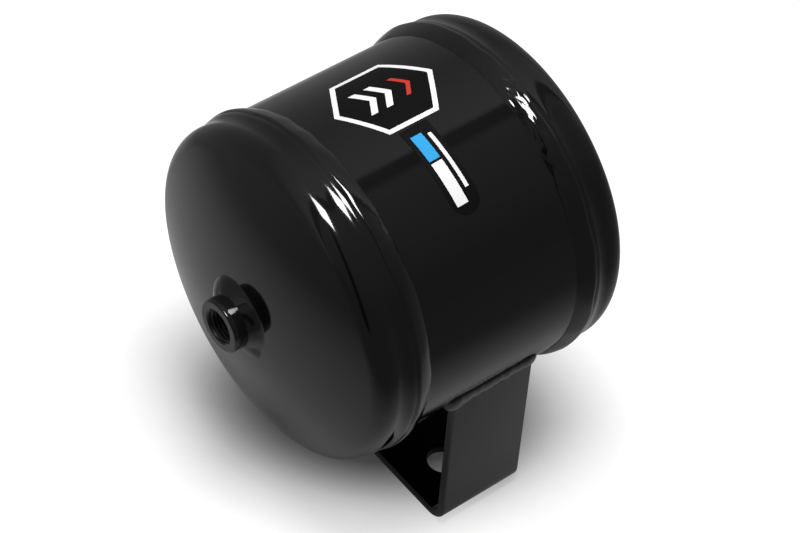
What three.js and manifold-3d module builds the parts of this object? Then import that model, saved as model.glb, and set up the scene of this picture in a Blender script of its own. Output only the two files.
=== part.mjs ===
// Small welded steel compressed-air tank standing on a U-shaped cradle bracket.
// Millimetres, +Z up. The tank's axis runs along Y with the supply port at the -Y end,
// and the bracket's flat underside lies on z = 0.
import * as THREE from 'three';
import { mergeVertices } from 'three/addons/utils/BufferGeometryUtils.js';
import Module from 'manifold-3d';

const wasm = await Module();
wasm.setup();

// Driving dimensions
const GAP = 0.3;                  // clearance between pieces that touch
const AROUND = 64;                // flats around the tank
const AXIS_HEIGHT = 99.5;         // tank axis above the bracket's underside

const SHELL_RADIUS = 66.7;
const SHELL_WALL = 2.4;
const SHELL_HALF_LENGTH = 43.5;

const HEAD_SHEET = 1.9;           // thickness of the pressed head
const BAND_RADIUS = SHELL_RADIUS + GAP + HEAD_SHEET;
const BAND_EDGE = 41.5;           // distances along the axis are counted from mid-length
const BAND_EDGE_BEVEL = 0.5;
const BAND_SHOULDER = 42.8;       // where the band starts to dip into the groove beside it
const SHOULDER_RADIUS = 5.0;
const GROOVE_FLOOR = 67.8;        // tank radius at the bottom of the groove
const GROOVE_RADIUS = 8.8;
const KNUCKLE_TOP = 68.0;         // tank radius at the top of the knuckle
const KNUCKLE_RADIUS = 9.0;
const CROWN_RADIUS = 172;

const SEAM_TOE = 34.6;            // where the seam weld runs out on the shell
const SEAM_HEIGHT = 1.9;

const BUNG_RADIUS = 10.8;
const BUNG_FACE = 80.1;
const BUNG_INNER_END = 65.5;
const BUNG_CHAMFER = 0.8;
const PORT_MOUTH_RADIUS = 6.9;    // 1/4 in taper pipe thread, major radius at the face
const PORT_INNER_RADIUS = 6.3;
const PORT_WELD_RADIUS = 16.4;
const PORT_WELD_TOP = 75.0;

const STRAP_WIDTH = 38.0;
const STRAP_THICKNESS = 3.8;
const STRAP_CENTRE = 3.0;         // the strap sits slightly towards the rear
const CRADLE_HALF_WIDTH = 65.0;   // where a leg's outer face would meet z = 0
const LEG_LEAN = 0.038;           // how far a leg leans in, per millimetre of height
const BEND_RADIUS = 8.5;          // outside of the bend
const LEG_TOP = 70.3;
const LEG_END_SLANT = 3.6;        // the leg's end is cut this much lower on its inner face
const BOLT_HOLE_RADIUS = 6.35;
const BOLT_HOLE_OFFSET = 41.8;
const LEG_WELD_OVERRUN = 2.8;     // past each edge of the strap

const LABEL_THICKNESS = 0.25;
const BADGE_ANGLE = -10;          // degrees round the shell from the top, towards +X
const BADGE_CENTRE = -0.5;
const BADGE_HALF_WIDTH = 22.5;
const BADGE_HALF_HEIGHT = 18.0;
const STRIP_ANGLE = 23.0;
const STRIP_CENTRE = -2.0;
const STRIP_LENGTH = 38.6;
const STRIP_WIDTH = 12.6;
const STRIP_TILT = -1.4;             // degrees

// Turns a three.js geometry into a manifold solid.
function toSolid(geometry) {
  const bare = geometry.clone();
  bare.deleteAttribute('normal');
  bare.deleteAttribute('uv');
  const merged = mergeVertices(bare, 1e-4);
  return new wasm.Manifold(new wasm.Mesh({
    numProp: 3,
    vertProperties: new Float32Array(merged.attributes.position.array),
    triVerts: new Uint32Array(merged.index.array),
  }));
}

// Turns a manifold solid back into a three.js geometry.
function toGeometry(solid) {
  const mesh = solid.getMesh();
  const geometry = new THREE.BufferGeometry();
  geometry.setAttribute('position', new THREE.BufferAttribute(mesh.vertProperties, 3));
  geometry.setIndex(new THREE.BufferAttribute(mesh.triVerts, 1));
  geometry.computeVertexNormals();
  return geometry;
}

// Turns a closed half section, given as [radius, distance along the axis] points with the outside
// running towards +Y, into a solid of revolution about Y.
function revolve(section, flats = AROUND) {
  const points = [...section, section[0]].map(([radius, along]) => new THREE.Vector2(radius, along));
  return new THREE.LatheGeometry(points, flats);
}

// Extrudes an outline in the XZ plane along Y, centred on the strap's centre line.
function extrudeAlongY(shape, length) {
  const geometry = new THREE.ExtrudeGeometry(shape, { depth: length, bevelEnabled: false, curveSegments: 8 });
  geometry.rotateX(Math.PI / 2);
  geometry.translate(0, STRAP_CENTRE + length / 2, 0);
  return geometry;
}

// Points of an arc in the half section. Angles are in radians from +Y towards the outside.
function arc(radiusCentre, alongCentre, radius, from, to, steps) {
  return Array.from({ length: steps + 1 }, (_, i) => {
    const angle = from + (to - from) * i / steps;
    return [radiusCentre + radius * Math.sin(angle), alongCentre + radius * Math.cos(angle)];
  });
}

// The groove's flanks: one rises to the band's shoulder, the other to the knuckle.
const bandSpan = SHOULDER_RADIUS + GROOVE_RADIUS;
const bandFlank = Math.acos(1 - (BAND_RADIUS - GROOVE_FLOOR) / bandSpan);
const grooveAlong = BAND_SHOULDER + bandSpan * Math.sin(bandFlank);
const knuckleSpan = KNUCKLE_RADIUS + GROOVE_RADIUS;
const knuckleFlank = Math.acos(1 - (KNUCKLE_TOP - GROOVE_FLOOR) / knuckleSpan);
const knuckleAlong = grooveAlong + knuckleSpan * Math.sin(knuckleFlank);
const crownAngle = Math.asin((KNUCKLE_TOP - KNUCKLE_RADIUS) / (CROWN_RADIUS - KNUCKLE_RADIUS));
const crownCentre = knuckleAlong - (CROWN_RADIUS - KNUCKLE_RADIUS) * Math.cos(crownAngle);

// Distance along the axis to the crown's outside at this radius.
function crownAt(radius) {
  return crownCentre + Math.sqrt(CROWN_RADIUS ** 2 - radius ** 2);
}

// The head's skin at this depth below its outside, from the hole in the crown out to the band.
function headSkin(depth) {
  const crown = CROWN_RADIUS - depth;
  const quarter = Math.PI / 2;
  const holeAngle = Math.asin((BUNG_RADIUS + GAP) / crown);
  return [
    ...arc(0, crownCentre, crown, holeAngle, crownAngle, 5),
    ...arc(KNUCKLE_TOP - KNUCKLE_RADIUS, knuckleAlong, KNUCKLE_RADIUS - depth,
      crownAngle, quarter + knuckleFlank, 8).slice(1),
    ...arc(GROOVE_FLOOR + GROOVE_RADIUS, grooveAlong, GROOVE_RADIUS + depth,
      knuckleFlank - quarter, -quarter - bandFlank, 4).slice(1),
    ...arc(BAND_RADIUS - SHOULDER_RADIUS, BAND_SHOULDER, SHOULDER_RADIUS - depth,
      quarter - bandFlank, quarter, 3).slice(1),
  ];
}

function shellTube() {
  const inside = SHELL_RADIUS - SHELL_WALL;
  return revolve([
    [SHELL_RADIUS, -SHELL_HALF_LENGTH],
    [SHELL_RADIUS, SHELL_HALF_LENGTH],
    [inside, SHELL_HALF_LENGTH],
    [inside, -SHELL_HALF_LENGTH],
  ]);
}

function pressedHead() {
  return revolve([
    [BAND_RADIUS - BAND_EDGE_BEVEL, BAND_EDGE],
    [BAND_RADIUS, BAND_EDGE + BAND_EDGE_BEVEL],
    ...headSkin(0).reverse(),
    ...headSkin(HEAD_SHEET),
    [BAND_RADIUS - HEAD_SHEET, BAND_EDGE],
  ]);
}

function girthWeld() {
  const foot = SHELL_RADIUS + GAP;
  const end = BAND_EDGE - GAP;
  const width = end - SEAM_TOE;
  return revolve([
    [foot, SEAM_TOE],
    [foot + SEAM_HEIGHT * 0.55, SEAM_TOE + width * 0.25],
    [foot + SEAM_HEIGHT * 0.95, SEAM_TOE + width * 0.6],
    [foot + SEAM_HEIGHT, end],
    [foot, end],
  ]);
}

function portBung() {
  return revolve([
    [BUNG_RADIUS, BUNG_INNER_END],
    [BUNG_RADIUS, BUNG_FACE - BUNG_CHAMFER],
    [BUNG_RADIUS - BUNG_CHAMFER, BUNG_FACE],
    [PORT_MOUTH_RADIUS, BUNG_FACE],
    [PORT_INNER_RADIUS, BUNG_INNER_END],
  ], 48);
}

function portWeld() {
  const foot = BUNG_RADIUS + GAP;
  const rise = PORT_WELD_TOP - crownAt(foot);
  const reach = PORT_WELD_RADIUS - foot;
  return revolve([
    [PORT_WELD_RADIUS, crownAt(PORT_WELD_RADIUS) + GAP],
    [foot + reach * 0.72, crownAt(foot) + rise * 0.16],
    [foot + reach * 0.42, crownAt(foot) + rise * 0.42],
    [foot + reach * 0.18, crownAt(foot) + rise * 0.72],
    [foot, PORT_WELD_TOP],
    [foot, crownAt(foot) + GAP],
  ], 48);
}

function seamWeld() {
  const bead = new THREE.Shape([[-2.2, 0], [-1.3, -0.8], [0, -1.1], [1.3, -0.8], [2.2, 0]]
    .map(([x, z]) => new THREE.Vector2(x, z)));
  const length = 2 * (SEAM_TOE - GAP);
  const geometry = new THREE.ExtrudeGeometry(bead, { depth: length, bevelEnabled: false });
  geometry.rotateX(Math.PI / 2);
  geometry.translate(0, length / 2, -SHELL_RADIUS - GAP);
  return geometry;
}

// Distance in X from the middle to the outer face of a leg at this height.
function legFaceAt(height) {
  return CRADLE_HALF_WIDTH - LEG_LEAN * height;
}

// One continuous strap: leg, bend, web, bend, leg, with a bolt hole near each end of the web.
function cradleBracket() {
  const lean = Math.atan(LEG_LEAN);
  const bend = BEND_RADIUS;
  const innerBend = bend - STRAP_THICKNESS;
  const bendCentre = legFaceAt(bend) - bend / Math.cos(lean);
  const outerTop = legFaceAt(LEG_TOP);
  const innerTopHeight = LEG_TOP - LEG_END_SLANT;
  const innerTop = legFaceAt(innerTopHeight) - STRAP_THICKNESS / Math.cos(lean);
  const strap = new THREE.Shape();
  strap.moveTo(-outerTop, LEG_TOP);
  strap.absarc(-bendCentre, bend, bend, Math.PI - lean, Math.PI * 1.5, false);
  strap.absarc(bendCentre, bend, bend, Math.PI * 1.5, Math.PI * 2 + lean, false);
  strap.lineTo(outerTop, LEG_TOP);
  strap.lineTo(innerTop, innerTopHeight);
  strap.absarc(bendCentre, bend, innerBend, lean, -Math.PI / 2, true);
  strap.absarc(-bendCentre, bend, innerBend, Math.PI * 1.5, Math.PI - lean, true);
  strap.lineTo(-innerTop, innerTopHeight);
  let solid = toSolid(extrudeAlongY(strap, STRAP_WIDTH));
  for (const side of [-1, 1]) {
    const drill = new THREE.CylinderGeometry(BOLT_HOLE_RADIUS, BOLT_HOLE_RADIUS, 20, 32);
    drill.rotateX(Math.PI / 2);
    drill.translate(side * BOLT_HOLE_OFFSET, STRAP_CENTRE, 0);
    solid = solid.subtract(toSolid(drill));
  }
  return toGeometry(solid);
}

// The fillet that fills the wedge between a leg's end and the shell; side is +1 or -1 along X.
function legWeld(side) {
  const legFace = legFaceAt(LEG_TOP) + GAP;
  const legEnd = LEG_TOP + GAP;
  const shellClear = SHELL_RADIUS + GAP;
  const rootDrop = AXIS_HEIGHT - legEnd;
  const root = Math.sqrt(shellClear ** 2 - rootDrop ** 2);
  const outline = [
    [root + 0.05, legEnd],
    [legFace, legEnd],
    [legFace, legEnd - 1.8],
    [legFace + 1.5, legEnd - 0.6],
    [legFace + 2.3, legEnd + 2.6],
    [legFace + 2.1, legEnd + 5.8],
  ];
  for (const drop of [20.5, 23.2, 26.2]) {
    outline.push([Math.sqrt(shellClear ** 2 - drop ** 2) + 0.05, AXIS_HEIGHT - drop]);
  }
  const shape = new THREE.Shape(outline.map(([x, z]) => new THREE.Vector2(side * x, z)));
  return extrudeAlongY(shape, STRAP_WIDTH + 2 * LEG_WELD_OVERRUN);
}

// Cuts a thin curved decal from a ring just off the shell, using an outline drawn in the plane that
// touches the shell at this angle: x runs along the tank, y up round the shell.
function decal(outline, angleDegrees, centre) {
  const inside = SHELL_RADIUS + GAP;
  const outside = inside + LABEL_THICKNESS;
  const ring = revolve([[outside, -30], [outside, 30], [inside, 30], [inside, -30]]);
  const prism = new THREE.ExtrudeGeometry(outline, { depth: 20, bevelEnabled: false, curveSegments: 10 });
  const angle = THREE.MathUtils.degToRad(angleDegrees);
  const normal = new THREE.Vector3(Math.sin(angle), 0, Math.cos(angle));
  const upwards = new THREE.Vector3(-Math.cos(angle), 0, Math.sin(angle));
  const along = new THREE.Vector3(0, 1, 0);
  prism.translate(centre, 0, SHELL_RADIUS - 10);
  prism.applyMatrix4(new THREE.Matrix4().makeBasis(along, upwards, normal));
  return toGeometry(toSolid(ring).intersect(toSolid(prism)));
}

function badgeOutline() {
  const width = BADGE_HALF_WIDTH;
  const height = BADGE_HALF_HEIGHT;
  return new THREE.Shape([
    [-width, 0], [-width * 0.5, -height], [width * 0.5, -height],
    [width, 0], [width * 0.5, height], [-width * 0.5, height],
  ].map(([x, y]) => new THREE.Vector2(x, y)));
}

function stripOutline() {
  const radius = STRIP_WIDTH / 2;
  const tilt = THREE.MathUtils.degToRad(STRIP_TILT);
  const turn = (x, y) => new THREE.Vector2(
    x * Math.cos(tilt) + y * Math.sin(tilt), y * Math.cos(tilt) - x * Math.sin(tilt));
  const points = [turn(radius, STRIP_LENGTH / 2), turn(-radius, STRIP_LENGTH / 2)];
  for (let step = 0; step <= 16; step += 1) {
    const angle = Math.PI + Math.PI * step / 16;
    points.push(turn(radius * Math.cos(angle), radius - STRIP_LENGTH / 2 + radius * Math.sin(angle)));
  }
  return new THREE.Shape(points);
}

function powderCoat(color, roughness) {
  return new THREE.MeshStandardMaterial({ color, roughness, metalness: 0.0 });
}

const group = new THREE.Group();
const tank = new THREE.Group();
tank.position.z = AXIS_HEIGHT;
group.add(tank);

function addPiece(parent, name, geometry, material) {
  const mesh = new THREE.Mesh(geometry, material);
  mesh.name = name;
  parent.add(mesh);
}

addPiece(tank, 'shell', shellTube(), powderCoat(0x1a1b1c, 0.32));
addPiece(tank, 'shell_seam_weld', seamWeld(), powderCoat(0x1a1b1c, 0.35));

// The two ends are alike; the front one is turned half a turn about Z.
for (const [end, turn] of [['front', Math.PI], ['rear', 0]]) {
  const half = new THREE.Group();
  half.rotation.z = turn;
  tank.add(half);
  addPiece(half, `${end}_head`, pressedHead(), powderCoat(0x1a1b1c, 0.3));
  addPiece(half, `${end}_girth_weld`, girthWeld(), powderCoat(0x161718, 0.35));
  addPiece(half, `${end}_port_bung`, portBung(), powderCoat(0x1c1d1e, 0.35));
  addPiece(half, `${end}_port_weld`, portWeld(), powderCoat(0x161718, 0.3));
}

addPiece(tank, 'badge_decal', decal(badgeOutline(), BADGE_ANGLE, BADGE_CENTRE), powderCoat(0x0b0b0b, 0.4));
addPiece(tank, 'strip_decal', decal(stripOutline(), STRIP_ANGLE, STRIP_CENTRE), powderCoat(0x0b0b0b, 0.4));

addPiece(group, 'mounting_bracket', cradleBracket(), powderCoat(0x1a1b1c, 0.34));
addPiece(group, 'right_bracket_weld', legWeld(1), powderCoat(0x161718, 0.35));
addPiece(group, 'left_bracket_weld', legWeld(-1), powderCoat(0x161718, 0.35));

export default group;
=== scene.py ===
"""Looks for a small welded steel compressed-air tank: gloss black powder coat, grooved heads lapped over
the shell, smooth girth welds, a threaded port bung in each end, two generic decals and a U-shaped cradle
bracket.

Lengths are in metres in the CAD's frame: +Z up, the tank's axis along Y, the supply port at -Y."""
import math

import bmesh
import bpy
import numpy as np
from mathutils import Matrix, Vector


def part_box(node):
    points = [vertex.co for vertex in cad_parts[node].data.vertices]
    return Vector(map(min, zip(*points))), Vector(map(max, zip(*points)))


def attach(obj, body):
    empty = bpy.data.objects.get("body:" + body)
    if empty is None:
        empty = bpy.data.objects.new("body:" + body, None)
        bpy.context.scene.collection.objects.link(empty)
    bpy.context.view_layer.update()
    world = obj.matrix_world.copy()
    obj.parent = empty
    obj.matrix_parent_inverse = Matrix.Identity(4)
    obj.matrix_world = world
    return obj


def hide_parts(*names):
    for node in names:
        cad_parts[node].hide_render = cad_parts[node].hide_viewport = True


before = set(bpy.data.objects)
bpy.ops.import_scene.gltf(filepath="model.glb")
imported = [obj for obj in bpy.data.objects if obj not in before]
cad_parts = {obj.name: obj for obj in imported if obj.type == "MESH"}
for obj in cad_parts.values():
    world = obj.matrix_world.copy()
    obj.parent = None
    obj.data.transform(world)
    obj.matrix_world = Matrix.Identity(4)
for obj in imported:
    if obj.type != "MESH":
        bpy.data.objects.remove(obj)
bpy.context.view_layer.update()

MM = 0.001
TAU = 2 * math.pi
FRONT = ("front", -1)             # an end's name and its direction along Y
REAR = ("rear", 1)

# ---------------------------------------------------------------------------------------------
# Dimensions, from the CAD frame where it has them
# ---------------------------------------------------------------------------------------------
shell_low, shell_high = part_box("shell")
head_low, head_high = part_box("rear_head")
bung_low, bung_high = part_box("rear_port_bung")
port_weld_low, port_weld_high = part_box("rear_port_weld")
strap_low, strap_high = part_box("mounting_bracket")
leg_weld_low, leg_weld_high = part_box("right_bracket_weld")
seam_low, seam_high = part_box("shell_seam_weld")

AXIS_Z = (shell_low.z + shell_high.z) / 2
SHELL_RADIUS = (shell_high.z - shell_low.z) / 2
SHELL_WALL = 2.4 * MM
SHELL_HALF = shell_high.y
BAND_RADIUS = (head_high.z - head_low.z) / 2
BAND_EDGE = head_low.y
HEAD_SHEET = 1.9 * MM
BAND_SHOULDER = 42.8 * MM
SHOULDER_RADIUS = 5.0 * MM
GROOVE_FLOOR = 67.8 * MM
GROOVE_RADIUS = 8.8 * MM
KNUCKLE_TOP = 68.0 * MM
KNUCKLE_RADIUS = 9.0 * MM
CROWN_RADIUS = 172.0 * MM
GIRTH_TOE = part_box("rear_girth_weld")[0].y
BUNG_RADIUS = (bung_high.z - bung_low.z) / 2
BUNG_FACE = bung_high.y
BUNG_INNER_END = bung_low.y
PORT_MOUTH_RADIUS = 6.9 * MM
PORT_INNER_RADIUS = 6.3 * MM
THREAD_PITCH = 25.4 / 18 * MM     # 18 threads to the inch
THREAD_DEPTH = 0.8 * MM
PORT_WELD_TOP = port_weld_high.y
PORT_WELD_RADIUS = (port_weld_high.z - port_weld_low.z) / 2
STRAP_THICKNESS = 3.8 * MM
CRADLE_HALF_WIDTH = 65.0 * MM     # where a leg's outer face would meet z = 0
LEG_LEAN = math.atan(0.038)
BEND_RADIUS = 8.5 * MM
LEG_END_SLANT = 3.6 * MM
BOLT_HOLE_RADIUS = 6.35 * MM
BOLT_HOLE_OFFSET = 41.8 * MM
STRAP_CENTRE = (strap_low.y + strap_high.y) / 2
BADGE_ANGLE = math.radians(-10)   # round the shell from the top, towards +X
BADGE_CENTRE = -0.5 * MM
BADGE_HALF_WIDTH = 22.5 * MM
BADGE_HALF_HEIGHT = 18 * MM
STRIP_ANGLE = math.radians(23.0)
STRIP_CENTRE = -2.0 * MM
STRIP_HALF_LENGTH = 19.3 * MM
STRIP_HALF_WIDTH = 6.3 * MM
STRIP_LEAN = 1.4                  # degrees
STICKER_LIFT = 0.02 * MM          # above the shell

# The head's outside: band, shoulder, groove, knuckle and crown, each tangent to the next.
BAND_SPAN = SHOULDER_RADIUS + GROOVE_RADIUS
BAND_FLANK = math.acos(1 - (BAND_RADIUS - GROOVE_FLOOR) / BAND_SPAN)
GROOVE_ALONG = BAND_SHOULDER + BAND_SPAN * math.sin(BAND_FLANK)
KNUCKLE_SPAN = KNUCKLE_RADIUS + GROOVE_RADIUS
KNUCKLE_FLANK = math.acos(1 - (KNUCKLE_TOP - GROOVE_FLOOR) / KNUCKLE_SPAN)
KNUCKLE_ALONG = GROOVE_ALONG + KNUCKLE_SPAN * math.sin(KNUCKLE_FLANK)
CROWN_ANGLE = math.asin((KNUCKLE_TOP - KNUCKLE_RADIUS) / (CROWN_RADIUS - KNUCKLE_RADIUS))
CROWN_CENTRE = KNUCKLE_ALONG - (CROWN_RADIUS - KNUCKLE_RADIUS) * math.cos(CROWN_ANGLE)


# ---------------------------------------------------------------------------------------------
# Mesh helpers
# ---------------------------------------------------------------------------------------------
def wander(angle, seed, slowest, fastest, count=7):
    """A smooth random wave round a circle, about -1 to 1: the sum of count sine waves, each with
    slowest to fastest waves a turn."""
    rng = np.random.default_rng(seed)
    total = np.zeros_like(np.asarray(angle, float))
    for _ in range(count):
        waves = rng.integers(slowest, fastest + 1)
        total = total + rng.uniform(0.5, 1.0) * np.sin(waves * angle + rng.uniform(0, TAU))
    return total / (0.5 * count)


def scallops(phase):
    """The profile of overlapping weld ripples, 0 to 1: round tops with sharp creases between."""
    return np.sqrt(np.abs(np.sin(phase / 2)))


RIPPLE_SUNK = 0.7                 # how much of a ripple's height lies below the bead's plain surface


def hump(angle, centre, half_width, sharpness=2):
    """1 at the angle centre, falling to 0 beyond half_width each side; both are in degrees."""
    apart = (angle - math.radians(centre) + math.pi) % TAU - math.pi
    return np.exp(-(apart / math.radians(half_width)) ** sharpness)


def new_object(name, vertices, faces, smooth_angle=35):
    """A mesh object with outward normals, smooth except at edges sharper than smooth_angle."""
    mesh = bpy.data.meshes.new(name)
    mesh.from_pydata([tuple(v) for v in vertices], [], [tuple(f) for f in faces])
    work = bmesh.new()
    work.from_mesh(mesh)
    bmesh.ops.recalc_face_normals(work, faces=work.faces)
    work.to_mesh(mesh)
    work.free()
    mesh.shade_smooth()
    mesh.set_sharp_from_angle(angle=math.radians(smooth_angle))
    obj = bpy.data.objects.new(name, mesh)
    bpy.context.scene.collection.objects.link(obj)
    return obj


def loop_faces(loops, size, closed):
    """Quads between neighbouring loops of size vertices each, numbered loop by loop. The last loop
    joins the first if closed; otherwise the two end loops are capped."""
    faces = []
    for i in range(loops if closed else loops - 1):
        for j in range(size):
            a = i * size + j
            b = i * size + (j + 1) % size
            c = ((i + 1) % loops) * size + (j + 1) % size
            d = ((i + 1) % loops) * size + j
            faces.append((a, b, c, d))
    if not closed:
        faces.append(tuple(range(size)))
        faces.append(tuple(reversed(range((loops - 1) * size, loops * size))))
    return faces


def turned_solid(name, angle, radius, along, end, smooth_angle):
    """A closed ring round the tank's axis. radius and along have a row for each angle and a column
    for each point of the section; end is +1 for the rear and -1 for the front."""
    points = np.stack([radius * np.sin(angle), end * along, AXIS_Z + radius * np.cos(angle)], -1)
    return new_object(name, points.reshape(-1, 3), loop_faces(*radius.shape, True), smooth_angle)


def revolve(name, section, shape, end=1, steps=288, smooth_angle=35):
    """A solid of revolution about the tank's axis. section is a closed list of (radius, along);
    shape(angle, radius, along) moves its points."""
    angle = np.linspace(0, TAU, steps, endpoint=False)[:, None]
    radius = np.array([p[0] for p in section])[None, :] + 0 * angle
    along = np.array([p[1] for p in section])[None, :] + 0 * angle
    radius, along = shape(angle, radius, along)
    return turned_solid(name, angle, radius, along, end, smooth_angle)


def arc(centre_radius, centre_along, radius, start, stop, steps):
    """Points of an arc in a half section; angles run from the axis direction towards the outside."""
    return [(centre_radius + radius * math.sin(a), centre_along + radius * math.cos(a))
            for a in np.linspace(start, stop, steps + 1)]


def stretch(a, b, steps):
    """Points from a to b, a left out."""
    return [(a[0] + (b[0] - a[0]) * k / steps, a[1] + (b[1] - a[1]) * k / steps)
            for k in range(1, steps + 1)]


def put_on(obj, *materials):
    for material in materials:
        obj.data.materials.append(material)
    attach(obj, "root")


# ---------------------------------------------------------------------------------------------
# Shader helpers
# ---------------------------------------------------------------------------------------------
def add_node(tree, kind, inputs, operation=None):
    """Adds a shader node. inputs gives its inputs, by name or number, each as a value or as the
    output that feeds it."""
    node = tree.nodes.new(kind)
    if operation:
        node.operation = operation
    set_inputs(node, inputs)
    return node


def set_inputs(node, inputs):
    """Sets a node's inputs, given as in add_node."""
    for which, value in inputs.items():
        if isinstance(value, bpy.types.NodeSocket):
            node.id_data.links.new(value, node.inputs[which])
        else:
            node.inputs[which].default_value = value


def blend_colours(tree, factor, first, second):
    tint = tree.nodes.new("ShaderNodeMix")
    tint.data_type = "RGBA"
    set_inputs(tint, {"Factor": factor, "A": (*first, 1), "B": (*second, 1)})
    return tint.outputs["Result"]


def remap(tree, value, source, target, smooth=False):
    """The range source of value, mapped onto the range target and held at its ends."""
    node = tree.nodes.new("ShaderNodeMapRange")
    if smooth:
        node.interpolation_type = "SMOOTHSTEP"
    set_inputs(node, {"Value": value, "From Min": source[0], "From Max": source[1],
                      "To Min": target[0], "To Max": target[1]})
    return node.outputs["Result"]


def maths(tree, operation, *values):
    return add_node(tree, "ShaderNodeMath", dict(enumerate(values)), operation).outputs["Value"]


def vector_maths(tree, operation, *values):
    return add_node(tree, "ShaderNodeVectorMath", dict(enumerate(values)), operation).outputs["Value"]


def grey_ramp(tree, place, stops):
    """A colour ramp of greys. stops lists (position, light)."""
    node = add_node(tree, "ShaderNodeValToRGB", {"Fac": place})
    elements = node.color_ramp.elements
    while len(elements) < len(stops):
        elements.new(0.5)
    for element, (position, light) in zip(elements, stops):
        element.position = position
        element.color = (light, light, light, 1)
    return node.outputs["Color"]


def new_material(name):
    """A new material, its node tree, its shader and the place on the object."""
    material = bpy.data.materials.new(name)
    material.use_nodes = True
    tree = material.node_tree
    place = tree.nodes.new("ShaderNodeTexCoord").outputs["Object"]
    return material, tree, tree.nodes["Principled BSDF"], place


# ---------------------------------------------------------------------------------------------
# Materials
# ---------------------------------------------------------------------------------------------
def powder_coat(name, roughness, peel_height, peel_size=1.5 * MM, rough_spread=0.02):
    """Gloss black powder coat: orange peel in the bump, faint clouding in colour and gloss."""
    black = (0.0028, 0.0029, 0.0030)
    cloud_size = 18 * MM
    material, tree, shader, place = new_material(name)
    peel = add_node(tree, "ShaderNodeTexNoise", {"Vector": place, "Scale": 1 / peel_size,
                                                 "Detail": 2.0, "Roughness": 0.45})
    bump = add_node(tree, "ShaderNodeBump", {"Height": peel.outputs["Fac"], "Distance": peel_height})
    cloud = add_node(tree, "ShaderNodeTexNoise", {"Vector": place, "Scale": 1 / cloud_size, "Detail": 4.0})
    clouding = cloud.outputs["Fac"]
    gloss = remap(tree, clouding, (0, 1), (roughness - rough_spread, roughness + rough_spread))
    tint = blend_colours(tree, clouding, [c * 0.85 for c in black], [c * 1.2 for c in black])
    set_inputs(shader, {"Base Color": tint, "Roughness": gloss, "Normal": bump.outputs["Normal"],
                        "Metallic": 0.0, "IOR": 1.5})
    return material


def vinyl(name, colour, roughness=0.3, specular=0.5):
    """Printed vinyl: a faint print grain in colour, and a slight softness in its gloss."""
    grain_size = 0.8 * MM
    grain_height = 0.004 * MM
    material, tree, shader, place = new_material(name)
    noise = add_node(tree, "ShaderNodeTexNoise", {"Vector": place, "Scale": 1 / grain_size, "Detail": 3.0})
    grain = noise.outputs["Fac"]
    tint = blend_colours(tree, grain, [c * 0.92 for c in colour], [min(1.0, c * 1.05) for c in colour])
    gloss = remap(tree, grain, (0, 1), (roughness - 0.05, roughness + 0.08))
    bump = add_node(tree, "ShaderNodeBump", {"Height": grain, "Distance": grain_height})
    set_inputs(shader, {"Base Color": tint, "Roughness": gloss, "Normal": bump.outputs["Normal"],
                        "Specular IOR Level": specular})
    return material


shell_coat = powder_coat("shell_coat", 0.09, 0.006 * MM)
head_coat = powder_coat("head_coat", 0.09, 0.006 * MM)
weld_coat = powder_coat("weld_coat", 0.09, 0.01 * MM, peel_size=1.0 * MM)
bung_coat = powder_coat("bung_coat", 0.09, 0.006 * MM)
thread_coat = powder_coat("thread_coat", 0.45, 0.006 * MM, rough_spread=0.05)
bracket_coat = powder_coat("bracket_coat", 0.16, 0.007 * MM, rough_spread=0.03)
white_vinyl = vinyl("white_vinyl", (0.82, 0.82, 0.82))
black_vinyl = vinyl("black_vinyl", (0.003, 0.003, 0.003), roughness=0.35, specular=0.12)
blue_vinyl = vinyl("blue_vinyl", (0.02, 0.33, 0.68))
red_vinyl = vinyl("red_vinyl", (0.5, 0.03, 0.02))


# ---------------------------------------------------------------------------------------------
# Shell and heads
# ---------------------------------------------------------------------------------------------
def make_shell():
    out_of_round = 0.05 * MM
    inside = SHELL_RADIUS - SHELL_WALL

    def rolled(angle, radius, along):
        swell = out_of_round * wander(angle, 11, 2, 7) * np.cos(along / SHELL_HALF)
        return radius + swell, along

    section = [(SHELL_RADIUS, -SHELL_HALF)]
    section += stretch(section[0], (SHELL_RADIUS, SHELL_HALF), 24)
    section += [(inside, SHELL_HALF)]
    section += stretch(section[-1], (inside, -SHELL_HALF), 6)
    shell = revolve("shell_tube", section, rolled)
    put_on(shell, shell_coat)
    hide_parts("shell")


def head_skin(depth, fine):
    """The head's skin this deep below its outside, from the hole in the crown out to the band. It
    runs a little way into the bung, so that no gap shows."""
    tuck = 0.4 * MM
    crown = CROWN_RADIUS - depth
    quarter = math.pi / 2
    hole = math.asin((BUNG_RADIUS - tuck) / crown)
    points = arc(0, CROWN_CENTRE, crown, hole, CROWN_ANGLE, 12 * fine)
    points += arc(KNUCKLE_TOP - KNUCKLE_RADIUS, KNUCKLE_ALONG, KNUCKLE_RADIUS - depth,
                  CROWN_ANGLE, quarter + KNUCKLE_FLANK, 10 * fine)[1:]
    points += arc(GROOVE_FLOOR + GROOVE_RADIUS, GROOVE_ALONG, GROOVE_RADIUS + depth,
                  KNUCKLE_FLANK - quarter, -quarter - BAND_FLANK, 5 * fine)[1:]
    points += arc(BAND_RADIUS - SHOULDER_RADIUS, BAND_SHOULDER, SHOULDER_RADIUS - depth,
                  quarter - BAND_FLANK, quarter, 4 * fine)[1:]
    return points


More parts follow.
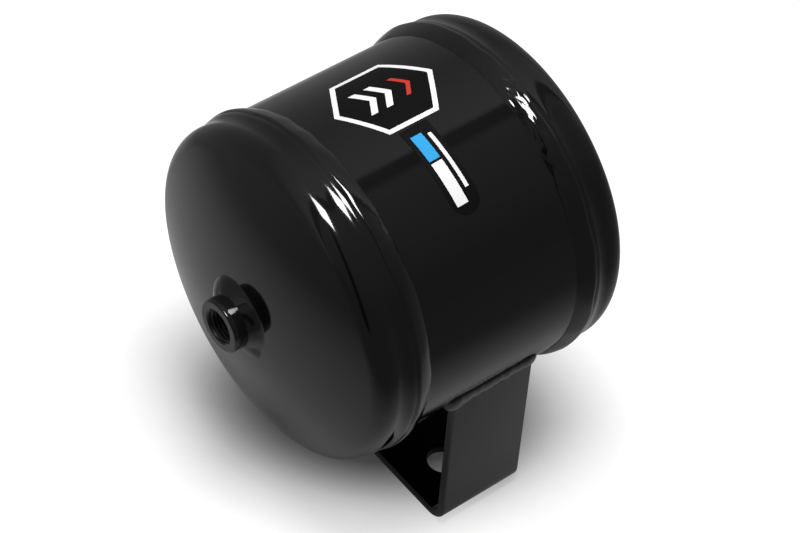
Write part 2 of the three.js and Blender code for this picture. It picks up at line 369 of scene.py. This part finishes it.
def make_head(which, end, seed):
    """A pressed head. Its rim is slightly out of round and out of true, and its edge wavers."""
    edge_round = 0.6 * MM
    out_of_round = 0.05 * MM
    out_of_true = 0.12 * MM
    edge_waver = 0.025 * MM
    waver_reach = 3 * MM
    outside = head_skin(0, 3)[::-1]
    band = stretch((BAND_RADIUS, BAND_EDGE + edge_round), outside[0], 5)[:-1]
    edge = arc(BAND_RADIUS - edge_round, BAND_EDGE + edge_round, edge_round, math.pi, math.pi / 2, 4)
    section = edge + band + outside + head_skin(HEAD_SHEET, 1)
    section += [(BAND_RADIUS - HEAD_SHEET, BAND_EDGE)]

    def pressed(angle, radius, along):
        rim = np.clip((radius - 0.5 * BAND_RADIUS) / (0.5 * BAND_RADIUS), 0, 1)
        near_edge = np.exp(-((along - BAND_EDGE) / waver_reach) ** 2)
        radius = radius + rim * out_of_round * wander(angle, seed, 2, 6)
        radius = radius + near_edge * edge_waver * wander(angle, seed + 1, 9, 26)
        along = along + rim * out_of_true * wander(angle, seed + 2, 2, 5)
        return radius, along

    head = revolve(f"{which}_domed_head", section, pressed, end, 384)
    put_on(head, head_coat)
    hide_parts(f"{which}_head")


# ---------------------------------------------------------------------------------------------
# Weld beads round the axis
# ---------------------------------------------------------------------------------------------
def make_girth_weld(which, end, seed, lumps):
    """The bead from the shell over the edge of a head's band: smooth, with a wandering toe on each
    side and faint ripples. lumps holds (angle, half width, height), in degrees and mm, of its rough
    stretches, where broken ridges run along it."""
    steps = 1440
    across = 44
    toe_shift = 0.2 * MM          # the toe's mean, from the CAD's towards mid-length
    lap = 1.2 * MM                # how far the bead laps over the band
    toe_waver = 0.4 * MM
    top_waver = 0.5 * MM
    sunk = 0.08 * MM              # each side starts this far inside the metal it joins
    root = 0.6 * MM               # the underside's depth in the shell
    ripples = 118                 # to a turn
    ripple_bow = 9.6              # how far their ends lag, as a phase
    ripple_height = 0.012 * MM
    crown_height = 0.45 * MM
    fullness = 0.36 * MM          # more of it towards the band
    band_at = 0.8                 # where the chord reaches the band, as a share of the bead's width
    bulge = 2.0                   # of a rough stretch, in ridge heights
    ridges = ((0.10, 0.05), (0.34, 0.07), (0.58, 0.07), (0.82, 0.05))   # (place, width) across the bead
    angle = np.linspace(0, TAU, steps, endpoint=False)[:, None]
    u = np.linspace(0, 1, across)[None, :]
    toe = GIRTH_TOE - toe_shift + toe_waver * wander(angle, seed, 4, 34, 14)
    top = BAND_EDGE + lap + top_waver * wander(angle, seed + 4, 3, 26, 12)
    along = toe + (top - toe) * u
    low = SHELL_RADIUS - sunk
    high = BAND_RADIUS - sunk
    chord = low + (high - low) * np.clip(u / band_at, 0, 1)
    # A round crown over the chord, fuller towards the band, where it ends in a short steep side.
    crown = crown_height * np.sin(math.pi * u ** 0.9) ** 0.8 + fullness * (1 - u ** 14) * u ** 0.5
    crown = crown * (1 + 0.12 * wander(angle, seed + 1, 6, 40, 12))
    phase = ripples * angle + 1.6 * wander(angle, seed + 2, 5, 21) - ripple_bow * (u - 0.55) ** 2
    body = np.clip(np.sin(math.pi * u), 0, 1)
    ripple = (scallops(phase) - RIPPLE_SUNK) * ripple_height * body
    bumps = 0 * angle
    for centre, half_width, height in lumps:
        there = hump(angle, centre, half_width)
        bumps = bumps + bulge * height * MM * there * np.sin(math.pi * u)
        for ridge, (place, width) in enumerate(ridges):
            line = place + 0.05 * wander(angle, seed + 5 + ridge, 18, 50, 9)
            broken = np.clip(0.2 + 1.1 * wander(angle, seed + 9 + ridge, 22, 60, 9), -0.6, 1)
            bumps = bumps + height * MM * there * broken * np.exp(-((u - line) / width) ** 2)
    radius = chord + crown + ripple + bumps
    radius = np.concatenate([radius, np.full((steps, 2), SHELL_RADIUS - root)], 1)
    along = np.concatenate([along, top, toe], 1)
    weld = turned_solid(f"{which}_girth_bead", angle, radius, along, end, smooth_angle=60)
    put_on(weld, weld_coat)
    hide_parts(f"{which}_girth_weld")


def crown_at(radius):
    """How far along the axis the crown's outside is at this distance from the axis."""
    return CROWN_CENTRE + np.sqrt(CROWN_RADIUS ** 2 - radius ** 2)


def make_port_weld(which, end, seed, lobes):
    """The hollow fillet round a bung, with fuller passes over it. lobes holds (angle, half width,
    reach, fullness) of each pass: where it is in degrees, how many more mm it goes out, and how much
    it bulges, from 0 for a hollow fillet to 1 for a round one."""
    steps = 480
    across = 36
    short = 0.7 * MM              # between passes it stops this much short of the CAD's rim
    tuck = 0.3 * MM               # it starts this far inside the bung
    sunk = 0.06 * MM              # its surface runs out this far inside the crown
    root = 1.0 * MM               # the underside's depth in the crown
    reach_waver = 0.22 * MM
    rise_waver = 0.15 * MM
    ripples = 26                  # to a turn
    ripple_height = 0.04 * MM
    angle = np.linspace(0, TAU, steps, endpoint=False)[:, None]
    u = np.linspace(0, 1, across)[None, :]
    reach = PORT_WELD_RADIUS - short + 0 * angle
    full = 0 * angle
    for centre, half_width, more_reach, fullness in lobes:
        there = hump(angle, centre, half_width, sharpness=4)
        reach = reach + more_reach * MM * there
        full = full + fullness * there
    reach = reach + reach_waver * wander(angle, seed, 5, 14)
    foot = BUNG_RADIUS - tuck
    rise = PORT_WELD_TOP - crown_at(foot) + rise_waver * wander(angle, seed + 1, 4, 12)
    radius = foot + (reach - foot) * u
    base = crown_at(radius)
    hollow = (1 - u) ** 2.1
    round_top = (1 - u ** 3.2) ** 0.6 * (1 - 0.45 * u)
    body = hollow + (round_top - hollow) * full
    phase = ripples * angle + 1.2 * wander(angle, seed + 2, 3, 9) + 3 * u
    ripple = (scallops(phase) - RIPPLE_SUNK) * ripple_height * np.sin(u * math.pi)
    along = base - sunk + rise * body + ripple
    radius = np.concatenate([radius, reach, foot + 0 * reach], 1)
    along = np.concatenate([along, crown_at(reach) - root, crown_at(foot) - root + 0 * reach], 1)
    weld = turned_solid(f"{which}_port_bead", angle, radius, along, end, smooth_angle=60)
    put_on(weld, weld_coat)
    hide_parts(f"{which}_port_weld")


# ---------------------------------------------------------------------------------------------
# Port bungs
# ---------------------------------------------------------------------------------------------
def make_bung(which, end):
    """A bung with a rounded rim, a bevelled mouth and a tapered pipe thread that fades in below it."""
    rim_round = 0.7 * MM
    mouth_bevel = 0.5 * MM
    mouth = PORT_MOUTH_RADIUS
    rows_per_pitch = 10
    fade_rows = 6
    section = [(BUNG_RADIUS, BUNG_INNER_END)]
    section += stretch(section[-1], (BUNG_RADIUS, BUNG_FACE - rim_round), 8)
    section += arc(BUNG_RADIUS - rim_round, BUNG_FACE - rim_round, rim_round, math.pi / 2, 0, 5)[1:]
    section += stretch(section[-1], (mouth + mouth_bevel, BUNG_FACE), 4)
    section += [(mouth, BUNG_FACE - mouth_bevel)]
    bore_start = len(section)
    rows = int((BUNG_FACE - BUNG_INNER_END) / THREAD_PITCH * rows_per_pitch)
    section += stretch(section[-1], (PORT_INNER_RADIUS, BUNG_INNER_END), rows)

    def threaded(angle, radius, along):
        turn = along / THREAD_PITCH - end * angle / TAU
        saw = 2 * np.abs(turn - np.floor(turn) - 0.5)
        index = np.arange(radius.shape[1])[None, :]
        fade = np.clip((index - bore_start) / fade_rows, 0, 1)
        return radius - fade * THREAD_DEPTH * saw, along

    bung = revolve(f"{which}_threaded_bung", section, threaded, end, 160, 40)
    put_on(bung, bung_coat, thread_coat)
    for face in bung.data.polygons:
        centre = face.center
        inside = math.hypot(centre.x, centre.z - AXIS_Z) < mouth + 0.2 * MM
        face.material_index = 1 if inside else 0
    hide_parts(f"{which}_port_bung")


# ---------------------------------------------------------------------------------------------
# Cradle bracket
# ---------------------------------------------------------------------------------------------
def strap_path():
    """The strap's middle line in the XZ plane, from the left leg's top to the right leg's top, as
    (x, z, outward x, outward z)."""
    web_steps, bend_steps, leg_steps = 14, 11, 12
    half = STRAP_THICKNESS / 2
    out_x, out_z = math.cos(LEG_LEAN), math.sin(LEG_LEAN)
    bend_x = CRADLE_HALF_WIDTH - BEND_RADIUS * (math.tan(LEG_LEAN) + 1 / out_x)
    radius = BEND_RADIUS - half
    right = []
    for x in np.linspace(0, bend_x, web_steps, endpoint=False):
        right.append((x, half, 0, -1))
    for a in np.linspace(-math.pi / 2, LEG_LEAN, bend_steps + 1):
        right.append((bend_x + radius * math.cos(a), BEND_RADIUS + radius * math.sin(a),
                      math.cos(a), math.sin(a)))
    start_x, start_z = right[-1][:2]
    for z in np.linspace(start_z, strap_high.z, leg_steps + 1)[1:]:
        right.append((start_x - (z - start_z) * math.tan(LEG_LEAN), z, out_x, out_z))
    left = [(-x, z, -nx, nz) for x, z, nx, nz in right[:0:-1]]
    return left + right


def strap_section():
    """The strap's cross-section as (across, outward), with edges rounded by the coat."""
    half_width = (strap_high.y - strap_low.y) / 2
    half = STRAP_THICKNESS / 2
    corner = 0.7 * MM
    points = []
    for side_y, side_n, start in ((1, 1, 0), (-1, 1, 90), (-1, -1, 180), (1, -1, 270)):
        for a in np.radians(np.linspace(start, start + 90, 5)):
            points.append((side_y * (half_width - corner) + corner * math.cos(a),
                           side_n * (half - corner) + corner * math.sin(a)))
    return points


def make_bracket():
    section = strap_section()
    vertices = []
    path = strap_path()
    for row, (x, z, nx, nz) in enumerate(path):
        at_end = row in (0, len(path) - 1)
        for across, outward in section:
            drop = LEG_END_SLANT * (0.5 - outward / STRAP_THICKNESS) if at_end else 0
            vertices.append((x + nx * outward, STRAP_CENTRE + across, z + nz * outward - drop))
    bracket = new_object("cradle_strap", vertices, loop_faces(len(path), len(section), False), 40)
    for side in (-1, 1):
        cut = bracket.modifiers.new("bolt_hole", "BOOLEAN")
        cut.operation = "DIFFERENCE"
        cut.solver = "EXACT"
        cut.object = hole_cutter(side * BOLT_HOLE_OFFSET)
    drilled = bracket.evaluated_get(bpy.context.evaluated_depsgraph_get())
    finished = bpy.data.meshes.new_from_object(drilled)
    for modifier in list(bracket.modifiers):
        bpy.data.objects.remove(modifier.object)
    bracket.modifiers.clear()
    bracket.data = finished
    finished.set_sharp_from_angle(angle=math.radians(30))
    put_on(bracket, bracket_coat)
    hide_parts("mounting_bracket")


def hole_cutter(x):
    """A drill with a small flare at each face of the web, so that the hole has soft edges. It ends
    past both faces, and no ring of its vertices lies on either."""
    flare = 0.35 * MM
    flare_start = 22              # degrees; a flare's full quarter would start at 0, on the face
    overshoot = 1 * MM
    top = STRAP_THICKNESS
    steps = 64
    profile = [(BOLT_HOLE_RADIUS + overshoot, -overshoot)]
    for a in np.radians(np.linspace(flare_start, 90, 4)):
        profile.append((BOLT_HOLE_RADIUS + flare * (1 - math.sin(a)), flare * (1 - math.cos(a))))
    for a in np.radians(np.linspace(90, flare_start, 4)):
        profile.append((BOLT_HOLE_RADIUS + flare * (1 - math.sin(a)), top - flare * (1 - math.cos(a))))
    profile.append((BOLT_HOLE_RADIUS + overshoot, top + overshoot))
    vertices = []
    for r, z in profile:
        for a in np.linspace(0, TAU, steps, endpoint=False):
            vertices.append((x + r * math.cos(a), STRAP_CENTRE + r * math.sin(a), z))
    cutter = new_object("hole_cutter", vertices, loop_faces(len(profile), steps, False))
    cutter.hide_render = True
    return cutter


# ---------------------------------------------------------------------------------------------
# Straight weld beads
# ---------------------------------------------------------------------------------------------
def make_leg_weld(side, seed):
    """The fillet between a leg's end and the shell: a smooth bead with a lump at its near end and a
    smaller one at its far end. side is +1 for the right leg and -1 for the left."""
    rows = 190
    around = 30
    half_thickness = 2.3 * MM
    half_height = 4.1 * MM
    starts_before = 0.9 * MM      # the CAD's bead, along the tank
    runs_longer = 0.7 * MM        # than the CAD's bead
    inside_leg_face = 1.7 * MM    # the bead's middle, inwards from the leg's outer face
    above_leg_end = 2.5 * MM      # and up from the leg's end
    lean_out = 0.12               # it follows the shell's flank as it rises
    lump_inset = 0.5 * MM         # a lump's middle, from the strap's edge
    near_lump_size, near_lump_reach = 0.30, 4.2 * MM
    far_lump_size, far_lump_reach = 0.12, 3.0 * MM
    ripples = 13
    ripple_height = 0.015 * MM
    v = np.linspace(0, 1, rows)[:, None]
    low_y, high_y = leg_weld_low.y, leg_weld_high.y
    y = low_y - starts_before + (high_y - low_y + runs_longer) * v
    mid = (y - low_y) / (high_y - low_y)
    near_lump = np.exp(-((y - (strap_low.y + lump_inset)) / near_lump_reach) ** 2)
    far_lump = np.exp(-((y - (strap_high.y - lump_inset)) / far_lump_reach) ** 2)
    size = 1 + near_lump_size * near_lump + far_lump_size * far_lump + 0.05 * wander(mid * TAU, seed, 1, 9)
    cap = np.sqrt(np.clip(1 - (np.abs(2 * v - 1) ** 12), 0, 1))
    a = np.linspace(0, TAU, around, endpoint=False)[None, :]
    centre_x = CRADLE_HALF_WIDTH - math.tan(LEG_LEAN) * strap_high.z - inside_leg_face
    centre_z = strap_high.z + above_leg_end
    ripple = ripple_height * np.sin(TAU * ripples * mid + 1.2 * wander(mid * TAU, seed + 1, 1, 5))
    reach_x = half_thickness * size + ripple
    reach_z = half_height * size
    x = centre_x + reach_x * np.sign(np.cos(a)) * np.abs(np.cos(a)) ** 0.6 * cap
    z = centre_z + reach_z * np.sin(a) * cap
    x = x + (z - centre_z) * lean_out
    points = np.stack([side * x, y + 0 * a, z], -1)
    name = "right" if side > 0 else "left"
    weld = new_object(f"{name}_leg_bead", points.reshape(-1, 3), loop_faces(rows, around, False), 60)
    put_on(weld, weld_coat)
    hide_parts(f"{name}_bracket_weld")


def make_seam_bead():
    """The shell's lengthwise seam, a low bead along its underside."""
    rows = 260
    around = 20
    half_height = 1.0 * MM
    ripples = 34
    ripple_height = 0.10 * MM
    v = np.linspace(0, 1, rows)[:, None]
    y = seam_low.y + (seam_high.y - seam_low.y) * v
    a = np.linspace(0, TAU, around, endpoint=False)[None, :]
    half_width = 2.1 * MM * (1 + 0.08 * wander(v * TAU, 71, 3, 12))
    ripple = (scallops(TAU * ripples * v + 2.0 * np.cos(a)) - RIPPLE_SUNK) * ripple_height
    x = half_width * np.cos(a)
    z = AXIS_Z - SHELL_RADIUS + (half_height + ripple) * -np.sin(a)
    points = np.stack([x + 0 * z, y + 0 * a, z], -1)
    bead = new_object("shell_seam_bead", points.reshape(-1, 3), loop_faces(rows, around, False), 60)
    put_on(bead, weld_coat)
    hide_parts("shell_seam_weld")


# ---------------------------------------------------------------------------------------------
# Decals
# ---------------------------------------------------------------------------------------------
def patch(outline, centre, lift, thickness, material_index, into):
    """Adds a thin curved sheet to the bmesh into, lift above the shell. centre is its (angle, along),
    and outline a list of (along, up) round that, where up runs round the shell towards -X."""
    longest_step = 1.2 * MM
    work = bmesh.new()
    work.faces.new([work.verts.new((x, y, 0)) for x, y in outline])
    highest = max(y for _, y in outline)
    lowest = min(y for _, y in outline)
    cuts = max(1, int((highest - lowest) / longest_step))
    for k in range(1, cuts):
        height = lowest + (highest - lowest) * k / cuts
        geometry = work.verts[:] + work.edges[:] + work.faces[:]
        bmesh.ops.bisect_plane(work, geom=geometry, plane_co=(0, height, 0), plane_no=(0, 1, 0))
    work.verts.index_update()
    top = {}
    bottom = {}
    for vertex in work.verts:
        angle = centre[0] - vertex.co.y / SHELL_RADIUS
        along = centre[1] + vertex.co.x
        for store, radius in ((bottom, SHELL_RADIUS + lift), (top, SHELL_RADIUS + lift + thickness)):
            store[vertex.index] = into.verts.new((radius * math.sin(angle), along,
                                                  AXIS_Z + radius * math.cos(angle)))
    for face in work.faces:
        corners = [v.index for v in face.verts]
        outer = into.faces.new([top[i] for i in corners])
        inner = into.faces.new([bottom[i] for i in reversed(corners)])
        outer.material_index = inner.material_index = material_index
    for edge in work.edges:
        if edge.is_boundary:
            a, b = (v.index for v in edge.verts)
            side = into.faces.new([top[a], top[b], bottom[b], bottom[a]])
            side.material_index = material_index
    work.free()


def decal_object(name, mesh_work, materials, cad_node):
    bmesh.ops.recalc_face_normals(mesh_work, faces=mesh_work.faces)
    mesh = bpy.data.meshes.new(name)
    mesh_work.to_mesh(mesh)
    mesh_work.free()
    obj = bpy.data.objects.new(name, mesh)
    bpy.context.scene.collection.objects.link(obj)
    mesh.shade_smooth()
    mesh.set_sharp_from_angle(angle=math.radians(30))
    put_on(obj, *materials)
    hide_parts(cad_node)


def turned(points, degrees):
    c, s = math.cos(math.radians(degrees)), math.sin(math.radians(degrees))
    return [(x * c - y * s, x * s + y * c) for x, y in points]


def in_mm(points):
    return [(x * MM, y * MM) for x, y in points]


def hexagon(w, h):
    return [(-w, 0), (-w / 2, -h), (w / 2, -h), (w, 0), (w / 2, h), (-w / 2, h)]


def strip_outline(half_length, radius, steps=18):
    """Square at the end next to the badge, round at the other."""
    points = [(radius, half_length), (-radius, half_length)]
    for a in np.radians(np.linspace(180, 360, steps)):
        points.append((radius * math.cos(a), radius - half_length + radius * math.sin(a)))
    return points


def make_badge():
    """A black hexagon with a white edge, two white chevrons and one small red one."""
    white, black, red = range(3)
    border = (2.3 * MM, 1.9 * MM)
    sheet = 0.1 * MM
    face_lift = 0.09 * MM
    sign_lift = 0.13 * MM
    ink = 0.06 * MM
    centre = (BADGE_ANGLE, BADGE_CENTRE)
    work = bmesh.new()
    sticker = hexagon(BADGE_HALF_WIDTH, BADGE_HALF_HEIGHT)
    patch(sticker, centre, STICKER_LIFT, sheet, white, work)
    face = hexagon(BADGE_HALF_WIDTH - border[0], BADGE_HALF_HEIGHT - border[1])
    patch(face, centre, face_lift, ink, black, work)
    for x in (-7, 0):
        chevron = in_mm([(x - 4, 7), (x - 1, 7), (x + 3.5, 0), (x - 1, -7), (x - 4, -7), (x + 0.5, 0)])
        patch(chevron, centre, sign_lift, ink, white, work)
    small_chevron = in_mm([(6, -6), (8, -6), (12, 0), (8, 6), (6, 6), (10, 0)])
    patch(small_chevron, centre, sign_lift, ink, red, work)
    decal_object("badge_sticker", work, (white_vinyl, black_vinyl, red_vinyl), "badge_decal")


def make_strip():
    """A black strip that starts beside the badge and carries three plain bars."""
    white, black, blue = range(3)
    sheet = 0.12 * MM
    bar_lift = 0.11 * MM
    ink = 0.06 * MM
    centre = (STRIP_ANGLE, STRIP_CENTRE)
    work = bmesh.new()
    outline = turned(strip_outline(STRIP_HALF_LENGTH, STRIP_HALF_WIDTH), STRIP_LEAN)
    patch(outline, centre, STICKER_LIFT, sheet, black, work)
    bars = (((2.6, 14), (4.2, -10), white), ((-4.2, 15.5), (0.8, 4), blue), ((-4.2, 3), (0.8, -15), white))
    for (x0, y0), (x1, y1), colour in bars:
        bar = turned(in_mm([(x0, y0), (x0, y1), (x1, y1), (x1, y0)]), STRIP_LEAN)
        patch(bar, centre, bar_lift, ink, colour, work)
    decal_object("strip_sticker", work, (white_vinyl, black_vinyl, blue_vinyl), "strip_decal")


# ---------------------------------------------------------------------------------------------
# Build
# ---------------------------------------------------------------------------------------------
make_shell()
make_seam_bead()
make_girth_weld(*FRONT, seed=31, lumps=((36, 9, 0.12),))
make_girth_weld(*REAR, seed=51, lumps=((23, 18, 0.32), (150, 25, 0.2)))
make_head(*FRONT, seed=21)
make_bung(*FRONT)
make_head(*REAR, seed=41)
make_bung(*REAR)
make_port_weld(*FRONT, seed=61, lobes=((-62, 42, 0.6, 0.85), (152, 26, 2.2, 0.5)))
make_port_weld(*REAR, seed=66, lobes=((20, 40, 0.8, 0.7), (140, 34, 1.8, 0.5), (-100, 30, 1.0, 0.6)))
make_bracket()
make_leg_weld(side=1, seed=81)
make_leg_weld(side=-1, seed=91)
make_badge()
make_strip()


# ---------------------------------------------------------------------------------------------
# Floor, light and camera
# ---------------------------------------------------------------------------------------------
def paper_as_seen(tree, shader, place):
    """The paper that the camera sees: its emission paints it evenly bright, apart from a painted soft oval
    shadow under the tank, longer across one diagonal."""
    half_width = 62 * MM
    half_length = 92 * MM
    reach = 1.5                   # the ramp's length, as a multiple of the oval
    # (distance from the middle, painted light); the oval itself is at 1
    stops = ((0.0, 0.03), (0.50, 0.04), (0.58, 0.10), (0.66, 0.19), (0.74, 0.32), (0.82, 0.47), (0.92, 0.60),
             (1.02, 0.69), (1.15, 0.78), (1.40, 0.88))
    grain = add_node(tree, "ShaderNodeTexNoise", {"Vector": place, "Scale": 90})
    tint = blend_colours(tree, grain.outputs["Fac"], (0.24, 0.24, 0.24), (0.26, 0.26, 0.26))
    oval = tree.nodes.new("ShaderNodeCombineXYZ")
    for socket, direction, radius in (("X", (1, -1, 0), half_width), ("Y", (1, 1, 0), half_length)):
        scale = [c / math.sqrt(2) / radius for c in direction]
        set_inputs(oval, {socket: vector_maths(tree, "DOT_PRODUCT", place, scale)})
    distance = vector_maths(tree, "LENGTH", oval.outputs["Vector"])
    # painted shadow: the emission darkens towards the oval's middle, under the tank
    light = grey_ramp(tree, maths(tree, "DIVIDE", distance, reach),
                      [(position / reach, grey) for position, grey in stops])
    set_inputs(shader, {"Base Color": tint, "Roughness": 0.9, "Specular IOR Level": 0.0,
                        "Emission Color": light, "Emission Strength": 1.0})
    return shader.outputs["BSDF"]


def paper_as_reflected(tree, place):
    """The paper that the tank's gloss sees: a pool of light painted into its colour that falls off to grey,
    under a painted glow that is dimmer towards +X and has the tank's own shade painted into it."""
    pool_centre = (-60 * MM, -40 * MM, 0)
    pool_edge = (0.12, 0.34)      # where the pool starts to fade, and where it ends
    shade_reach = 0.6
    distance = vector_maths(tree, "DISTANCE", place, pool_centre)
    # painted pool of light: the diffuse colour is brighter round pool_centre
    pool = remap(tree, distance, pool_edge, (0.27, 0.0), smooth=True)
    lit = add_node(tree, "ShaderNodeBsdfDiffuse", {"Color": pool})
    # painted shade: ambient occlusion dims the glow near the tank
    openness = add_node(tree, "ShaderNodeAmbientOcclusion", {"Distance": shade_reach})
    openness.samples = 8
    shade = remap(tree, openness.outputs["AO"], (0, 1), (0.10, 1.0))
    split = add_node(tree, "ShaderNodeSeparateXYZ", {"Vector": place})
    # painted falloff of light: the glow's grey dims towards +X
    grey = remap(tree, split.outputs["X"], (-0.6, 0.3), (0.27, 0.14), smooth=True)
    painted_glow = add_node(tree, "ShaderNodeEmission", {"Strength": maths(tree, "MULTIPLY", grey, shade)})
    both = add_node(tree, "ShaderNodeAddShader", {0: lit.outputs["BSDF"], 1: painted_glow.outputs["Emission"]})
    return both.outputs["Shader"]


def make_floor():
    """Pale paper, just under the bracket."""
    half = 6.0
    mesh = bpy.data.meshes.new("floor")
    mesh.from_pydata([(-half, -half, 0), (half, -half, 0), (half, half, 0), (-half, half, 0)], [],
                     [(0, 1, 2, 3)])
    floor = bpy.data.objects.new("floor", mesh)
    floor.location.z = -0.05 * MM
    bpy.context.scene.collection.objects.link(floor)
    material, tree, shader, place = new_material("floor_paper")
    # the camera sees the paper with its painted shadow; the tank's gloss sees it with painted light and
    # painted shade
    path = tree.nodes.new("ShaderNodeLightPath")
    mix = add_node(tree, "ShaderNodeMixShader", {"Fac": path.outputs["Is Camera Ray"],
                                                 1: paper_as_reflected(tree, place),
                                                 2: paper_as_seen(tree, shader, place)})
    set_inputs(tree.nodes["Material Output"], {"Surface": mix.outputs["Shader"]})
    mesh.materials.append(material)


def make_key_light():
    """A softbox over the tank."""
    place = Vector((0.085, -0.09, 1.25))
    target = Vector((0.0, 0.0, 0.1))
    softbox = bpy.data.lights.new("key", "AREA")
    softbox.shape = "RECTANGLE"
    softbox.size = 0.34
    softbox.size_y = 0.38
    softbox.energy = 14
    light = bpy.data.objects.new("key", softbox)
    light.location = place
    light.rotation_euler = (target - place).to_track_quat("-Z", "Y").to_euler()
    bpy.context.scene.collection.objects.link(light)


def make_world():
    """Soft studio light all round, brighter overhead on the left, dim on the right, with one dark strip
    straight above the tank. It varies with the direction's angle round the tank's axis. A dark upright
    shape stands beside the camera, and shows only as a thin line on the knuckle."""
    stops = ((-90, 0.27), (-50, 0.26), (-28, 0.40), (-9, 0.50), (-6.5, 0.11), (0.5, 0.11), (5, 0.26),
             (20, 0.23), (45, 0.18), (68, 0.13), (90, 0.13))
    upright_bearing = math.radians(41)
    upright_edges = (math.radians(4), math.radians(9))
    world = bpy.data.worlds.new("studio")
    world.use_nodes = True
    tree = world.node_tree
    where = tree.nodes.new("ShaderNodeTexCoord").outputs["Generated"]
    split = add_node(tree, "ShaderNodeSeparateXYZ", {"Vector": where})
    x, y, z = (split.outputs[axis] for axis in "XYZ")
    angle = remap(tree, maths(tree, "ARCTAN2", x, z), (math.radians(-90), math.radians(90)), (0, 1))
    light = grey_ramp(tree, angle, [((degrees + 90) / 180, grey) for degrees, grey in stops])
    bearing = maths(tree, "ARCTAN2", x, maths(tree, "MULTIPLY", y, -1))
    off = maths(tree, "ABSOLUTE", maths(tree, "SUBTRACT", bearing, upright_bearing))
    strength = remap(tree, off, upright_edges, (0, 1))
    set_inputs(tree.nodes["Background"], {"Color": light, "Strength": strength})
    bpy.context.scene.world = world


def camera_axes(azimuth, elevation, roll):
    """Right, up and back of a camera that looks at the tank; the angles are in degrees."""
    az, el, ro = (math.radians(v) for v in (azimuth, elevation, roll))
    back = Vector((math.sin(az) * math.cos(el), -math.cos(az) * math.cos(el), math.sin(el)))
    right = Vector((math.cos(az), math.sin(az), 0))
    up = back.cross(right)
    return (right * math.cos(ro) + up * math.sin(ro), up * math.cos(ro) - right * math.sin(ro), back)


def make_camera():
    """A long lens, with the tank's centre slightly left of and above the middle of the frame."""
    right, up, back = camera_axes(azimuth=46.4, elevation=48.2, roll=6.9)
    centre = Vector((0, 0, AXIS_Z))
    distance = 1.076
    across, rise = -3.6 * MM, 11.85 * MM
    camera_data = bpy.data.cameras.new("camera")
    camera_data.lens = 128.6
    camera_data.sensor_width = 36.0
    camera_data.clip_start = 0.05
    camera = bpy.data.objects.new("camera", camera_data)
    place = centre + back * distance - right * across - up * rise
    turn = Matrix((right, up, back)).transposed().to_4x4()
    camera.matrix_world = Matrix.Translation(place) @ turn
    bpy.context.scene.collection.objects.link(camera)
    bpy.context.scene.camera = camera


make_floor()
make_key_light()
make_world()
bpy.context.scene.view_settings.view_transform = "Standard"
make_camera()
